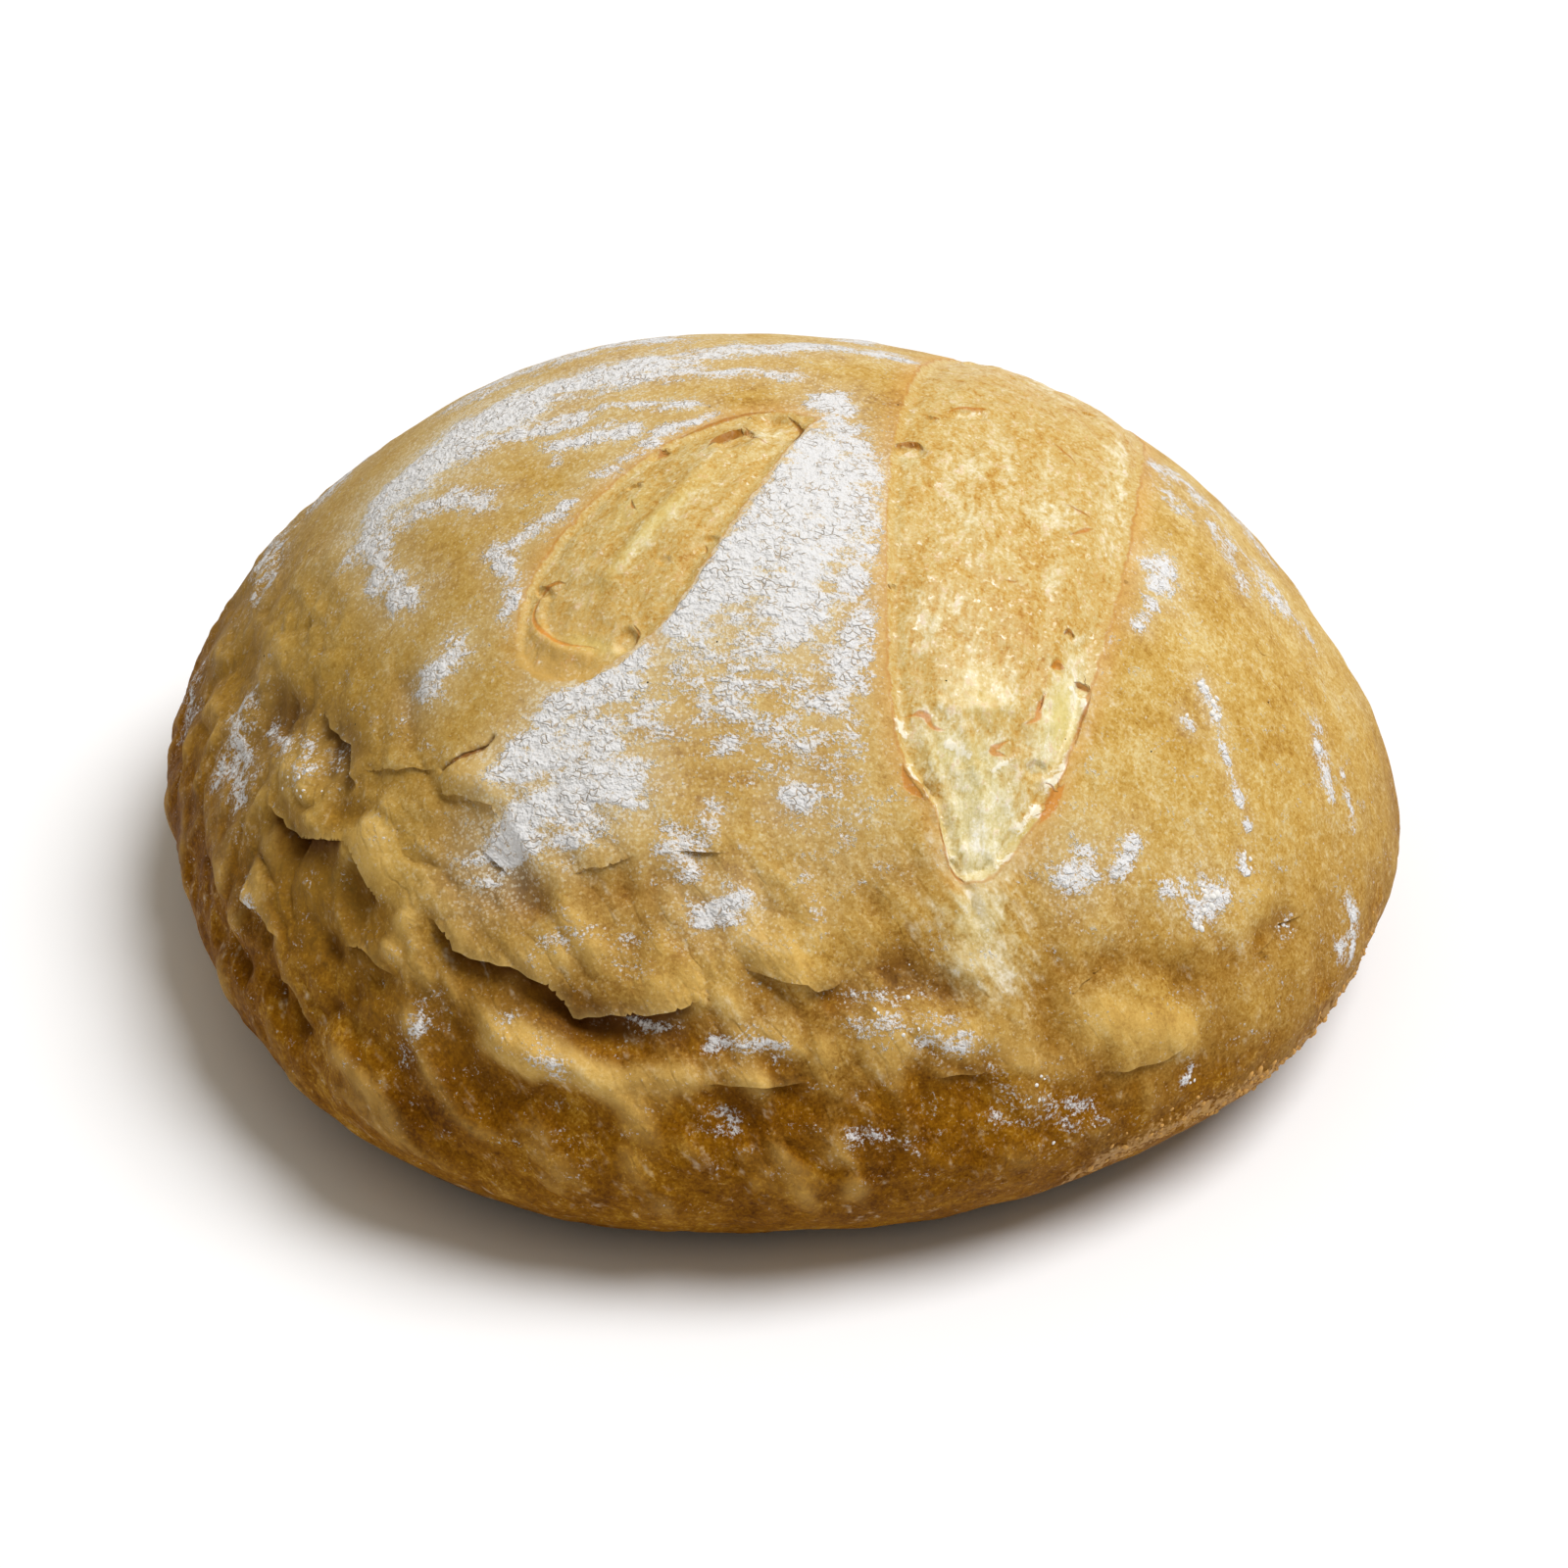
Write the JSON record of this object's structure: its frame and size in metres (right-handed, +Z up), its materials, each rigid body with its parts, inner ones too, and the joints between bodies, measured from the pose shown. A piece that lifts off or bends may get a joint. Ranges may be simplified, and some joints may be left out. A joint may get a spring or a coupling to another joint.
{
  "type": "sourdough loaf",
  "caption": "Round rustic sourdough loaf with two long scored openings, cracked crust plates down one side and a flat base.",
  "frame": {"origin": "on the surface the loaf rests on, under the middle of its bounding box", "axes": "+Z up out of the crown, +X along the loaf's length, +Y along its width, away from the side with the cracked crust plates"},
  "size_m": [0.233, 0.2176, 0.1088],
  "materials": {
    "crust": "dry baked crust, golden brown, dusted with white flour"
  },
  "bodies": {
    "root": {"loaf": "crust"}
  },
  "joints": []
}
